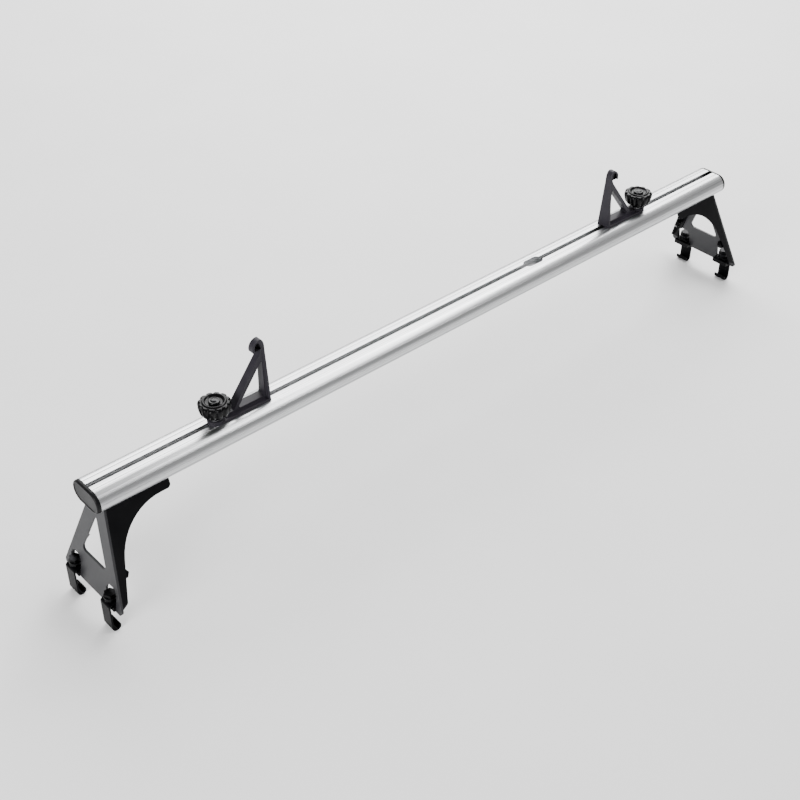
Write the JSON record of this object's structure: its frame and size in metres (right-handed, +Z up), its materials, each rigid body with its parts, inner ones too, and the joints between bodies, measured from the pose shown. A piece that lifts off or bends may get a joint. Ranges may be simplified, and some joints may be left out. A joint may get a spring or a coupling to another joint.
{
  "type": "roof rack crossbar",
  "caption": "Aluminium crossbar on two pressed-steel gutter feet with screw-tightened hooks and sliding load stops locked by star knobs.",
  "frame": {"origin": "on the ground midway along the bar, under its centre line, level with the lowest point of the gutter hooks", "axes": "+X along the bar towards its right end, +Y rearwards across the bar, +Z up"},
  "size_m": [1.588, 0.1706, 0.3696],
  "materials": {
    "anodised_bar": "satin, fine lengthwise drawn texture",
    "cap_plastic": "fine moulded grain",
    "powder_coat": "satin black powder coat",
    "black_zinc": "satin black coated fastener",
    "zinc_steel": "zinc plated",
    "stop_plastic": "charcoal moulded nylon",
    "knob_gloss": "gloss black",
    "knob_cap": "satin black",
    "brass": "machined"
  },
  "bodies": {
    "rack": {"crossbar": "anodised_bar", "end_cap_left": "cap_plastic", "foot_plate_left": "powder_coat", "foot_saddle_left": "powder_coat", "foot_t_bolts_left": "zinc_steel", "foot_washers_left": "zinc_steel", "foot_nuts_left": "zinc_steel", "clamp_seats_left": "powder_coat", "web_nuts_left": "black_zinc", "end_cap_right": "cap_plastic", "foot_plate_right": "powder_coat", "foot_saddle_right": "powder_coat", "foot_t_bolts_right": "zinc_steel", "foot_washers_right": "zinc_steel", "foot_nuts_right": "zinc_steel", "clamp_seats_right": "powder_coat", "web_nuts_right": "black_zinc"},
    "clamp_screw_left_front": {"clamp_bolt_left_front": "black_zinc"},
    "gutter_hook_left_front": {"hook_left_front": "powder_coat", "weld_nut_left_front": "black_zinc"},
    "clamp_screw_left_rear": {"clamp_bolt_left_rear": "black_zinc"},
    "gutter_hook_left_rear": {"hook_left_rear": "powder_coat", "weld_nut_left_rear": "black_zinc"},
    "clamp_screw_right_front": {"clamp_bolt_right_front": "black_zinc"},
    "gutter_hook_right_front": {"hook_right_front": "powder_coat", "weld_nut_right_front": "black_zinc"},
    "clamp_screw_right_rear": {"clamp_bolt_right_rear": "black_zinc"},
    "gutter_hook_right_rear": {"hook_right_rear": "powder_coat", "weld_nut_right_rear": "black_zinc"},
    "stop_carriage_left": {"load_stop_left": "stop_plastic", "stop_t_bolt_left": "zinc_steel", "stop_washer_left": "zinc_steel"},
    "star_knob_left": {"knob_left": "knob_gloss", "knob_insert_left": "brass", "knob_cap_left": "knob_cap"},
    "stop_carriage_right": {"load_stop_right": "stop_plastic", "stop_t_bolt_right": "zinc_steel", "stop_washer_right": "zinc_steel"},
    "star_knob_right": {"knob_right": "knob_gloss", "knob_insert_right": "brass", "knob_cap_right": "knob_cap"}
  },
  "joints": [
    {"name": "clamp_turn_left_front", "type": "hinge", "parent": "rack", "child": "clamp_screw_left_front", "pos_m": [-0.7815, -0.0532, 0.067], "axis": [0, 0, 1], "range_deg": [0, 640]},
    {"name": "hook_lift_left_front", "type": "slide", "parent": "rack", "child": "gutter_hook_left_front", "axis": [0, 0, 1], "range_m": [-0.003, 0]},
    {"name": "clamp_turn_left_rear", "type": "hinge", "parent": "rack", "child": "clamp_screw_left_rear", "pos_m": [-0.7815, 0.0532, 0.067], "axis": [0, 0, 1], "range_deg": [0, 640]},
    {"name": "hook_lift_left_rear", "type": "slide", "parent": "rack", "child": "gutter_hook_left_rear", "axis": [0, 0, 1], "range_m": [-0.003, 0]},
    {"name": "clamp_turn_right_front", "type": "hinge", "parent": "rack", "child": "clamp_screw_right_front", "pos_m": [0.7815, -0.0532, 0.067], "axis": [0, 0, 1], "range_deg": [0, 640]},
    {"name": "hook_lift_right_front", "type": "slide", "parent": "rack", "child": "gutter_hook_right_front", "axis": [0, 0, 1], "range_m": [-0.003, 0]},
    {"name": "clamp_turn_right_rear", "type": "hinge", "parent": "rack", "child": "clamp_screw_right_rear", "pos_m": [0.7815, 0.0532, 0.067], "axis": [0, 0, 1], "range_deg": [0, 640]},
    {"name": "hook_lift_right_rear", "type": "slide", "parent": "rack", "child": "gutter_hook_right_rear", "axis": [0, 0, 1], "range_m": [-0.003, 0]},
    {"name": "stop_slide_left", "type": "slide", "parent": "rack", "child": "stop_carriage_left", "axis": [1, 0, 0], "range_m": [-0.2, 0.38]},
    {"name": "knob_turn_left", "type": "hinge", "parent": "stop_carriage_left", "child": "star_knob_left", "pos_m": [-0.521, 0, 0.27], "axis": [0, 0, 1], "continuous": true},
    {"name": "stop_slide_right", "type": "slide", "parent": "rack", "child": "stop_carriage_right", "axis": [1, 0, 0], "range_m": [-0.25, 0.2]},
    {"name": "knob_turn_right", "type": "hinge", "parent": "stop_carriage_right", "child": "star_knob_right", "pos_m": [0.521, 0, 0.27], "axis": [0, 0, 1], "continuous": true}
  ],
  "couplings": [
    {"joint": "clamp_turn_left_front", "follows": "hook_lift_left_front", "rad_per_m": -3590.4},
    {"joint": "clamp_turn_left_rear", "follows": "hook_lift_left_rear", "rad_per_m": -3590.4},
    {"joint": "clamp_turn_right_front", "follows": "hook_lift_right_front", "rad_per_m": -3590.4},
    {"joint": "clamp_turn_right_rear", "follows": "hook_lift_right_rear", "rad_per_m": -3590.4}
  ]
}
